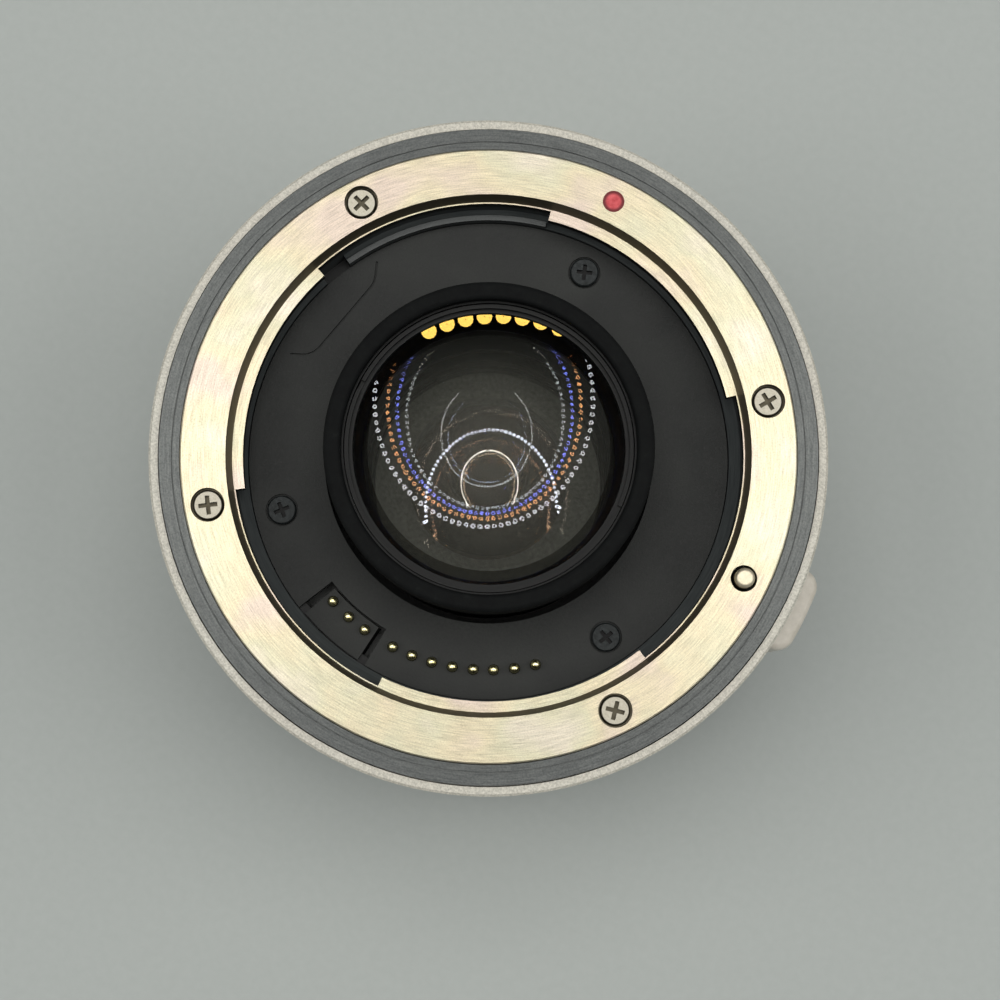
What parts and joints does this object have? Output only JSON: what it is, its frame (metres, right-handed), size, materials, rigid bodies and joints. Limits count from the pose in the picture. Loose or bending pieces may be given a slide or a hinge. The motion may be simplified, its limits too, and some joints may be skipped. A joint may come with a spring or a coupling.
{
  "type": "camera teleconverter",
  "caption": "Short cylindrical lens extender with a female bayonet and protruding lens tube on one side, a male bayonet on the other, and a sliding lens release.",
  "frame": {"origin": "centre of the camera side flange face, on the optical axis", "axes": "+Z along the optical axis towards the lens, +Y through the red index dot of the lens side, +X through the lock pin and the release lever"},
  "size_m": [0.0742, 0.0718, 0.0587],
  "materials": {
    "barrel_paint": "fine grained off-white enamel, satin",
    "dark_metal": "dark grey, turned, satin",
    "mount_steel": "bead blasted stainless steel, matte",
    "bright_steel": "plated steel, semi bright",
    "spring_steel": "spring steel, semi bright",
    "red_enamel": "red enamel, semi gloss",
    "black_plastic": "glass filled black plastic, matte",
    "black_metal": "black anodised, satin",
    "frame_alloy": "machined, dark anodised",
    "board_green": "solder mask green",
    "chip_black": "moulded epoxy, matte",
    "flex_film": "amber polyimide film",
    "black_rubber": "black rubber, matte",
    "contact_gold": "gold plated, polished",
    "coated_glass": "polished glass with tinted anti-reflection coating"
  },
  "bodies": {
    "housing": {"outer_barrel": "barrel_paint", "front_trim_ring": "dark_metal", "front_mount_ring": "mount_steel", "rear_mount_ring": "mount_steel", "front_mount_shim": "bright_steel", "rear_mount_shim": "bright_steel", "front_mount_screws": "bright_steel", "rear_mount_screws": "bright_steel", "board_screws": "bright_steel", "lens_tube_screws": "bright_steel", "lock_pin_spring": "spring_steel", "contact_springs": "spring_steel", "bayonet_springs": "spring_steel", "front_index_dot": "red_enamel", "rear_index_dot": "red_enamel", "light_trap_ring": "black_plastic", "front_baffle_plate": "black_plastic", "main_contact_block": "black_plastic", "side_contact_block": "black_plastic", "rear_baffle": "black_plastic", "rear_contact_block": "black_plastic", "front_baffle_screws": "black_metal", "rear_baffle_screws": "black_metal", "lens_tube": "black_metal", "front_retainer": "black_metal", "rear_retainer": "black_metal", "lens_spacers": "black_metal", "inner_frame": "frame_alloy", "circuit_board": "board_green", "circuit_chips": "chip_black", "contact_flex": "flex_film", "nose_bumper": "black_rubber", "rear_seal_ring": "black_rubber", "rear_contact_pads": "contact_gold", "lens_element_1": "coated_glass", "lens_element_2": "coated_glass", "lens_element_3": "coated_glass", "lens_element_4": "coated_glass", "lens_element_5": "coated_glass", "lens_element_6": "coated_glass", "lens_element_7": "coated_glass", "lens_element_8": "coated_glass", "lens_element_9": "coated_glass"},
    "lock_slide": {"lock_pin": "bright_steel", "lever_slider": "spring_steel", "release_lever": "barrel_paint", "lever_screws": "bright_steel"},
    "contact_01": {"contact_pin_01": "contact_gold"},
    "contact_02": {"contact_pin_02": "contact_gold"},
    "contact_03": {"contact_pin_03": "contact_gold"},
    "contact_04": {"contact_pin_04": "contact_gold"},
    "contact_05": {"contact_pin_05": "contact_gold"},
    "contact_06": {"contact_pin_06": "contact_gold"},
    "contact_07": {"contact_pin_07": "contact_gold"},
    "contact_08": {"contact_pin_08": "contact_gold"},
    "contact_09": {"contact_pin_09": "contact_gold"},
    "contact_10": {"contact_pin_10": "contact_gold"},
    "contact_11": {"contact_pin_11": "contact_gold"}
  },
  "joints": [
    {"name": "lock_release", "type": "slide", "parent": "housing", "child": "lock_slide", "axis": [0, 0, -1], "range_m": [0, 0.002], "stiffness_N_per_m": 600, "springref_m": -0.002, "deforming": ["lock_pin_spring"]},
    {"name": "contact_01_press", "type": "slide", "parent": "housing", "child": "contact_01", "axis": [0, 0, -1], "range_m": [0, 0.001], "stiffness_N_per_m": 300, "springref_m": -0.001, "deforming": ["contact_springs"]},
    {"name": "contact_02_press", "type": "slide", "parent": "housing", "child": "contact_02", "axis": [0, 0, -1], "range_m": [0, 0.001], "stiffness_N_per_m": 300, "springref_m": -0.001, "deforming": ["contact_springs"]},
    {"name": "contact_03_press", "type": "slide", "parent": "housing", "child": "contact_03", "axis": [0, 0, -1], "range_m": [0, 0.001], "stiffness_N_per_m": 300, "springref_m": -0.001, "deforming": ["contact_springs"]},
    {"name": "contact_04_press", "type": "slide", "parent": "housing", "child": "contact_04", "axis": [0, 0, -1], "range_m": [0, 0.001], "stiffness_N_per_m": 300, "springref_m": -0.001, "deforming": ["contact_springs"]},
    {"name": "contact_05_press", "type": "slide", "parent": "housing", "child": "contact_05", "axis": [0, 0, -1], "range_m": [0, 0.001], "stiffness_N_per_m": 300, "springref_m": -0.001, "deforming": ["contact_springs"]},
    {"name": "contact_06_press", "type": "slide", "parent": "housing", "child": "contact_06", "axis": [0, 0, -1], "range_m": [0, 0.001], "stiffness_N_per_m": 300, "springref_m": -0.001, "deforming": ["contact_springs"]},
    {"name": "contact_07_press", "type": "slide", "parent": "housing", "child": "contact_07", "axis": [0, 0, -1], "range_m": [0, 0.001], "stiffness_N_per_m": 300, "springref_m": -0.001, "deforming": ["contact_springs"]},
    {"name": "contact_08_press", "type": "slide", "parent": "housing", "child": "contact_08", "axis": [0, 0, -1], "range_m": [0, 0.001], "stiffness_N_per_m": 300, "springref_m": -0.001, "deforming": ["contact_springs"]},
    {"name": "contact_09_press", "type": "slide", "parent": "housing", "child": "contact_09", "axis": [0, 0, -1], "range_m": [0, 0.001], "stiffness_N_per_m": 300, "springref_m": -0.001, "deforming": ["contact_springs"]},
    {"name": "contact_10_press", "type": "slide", "parent": "housing", "child": "contact_10", "axis": [0, 0, -1], "range_m": [0, 0.001], "stiffness_N_per_m": 300, "springref_m": -0.001, "deforming": ["contact_springs"]},
    {"name": "contact_11_press", "type": "slide", "parent": "housing", "child": "contact_11", "axis": [0, 0, -1], "range_m": [0, 0.001], "stiffness_N_per_m": 300, "springref_m": -0.001, "deforming": ["contact_springs"]}
  ]
}
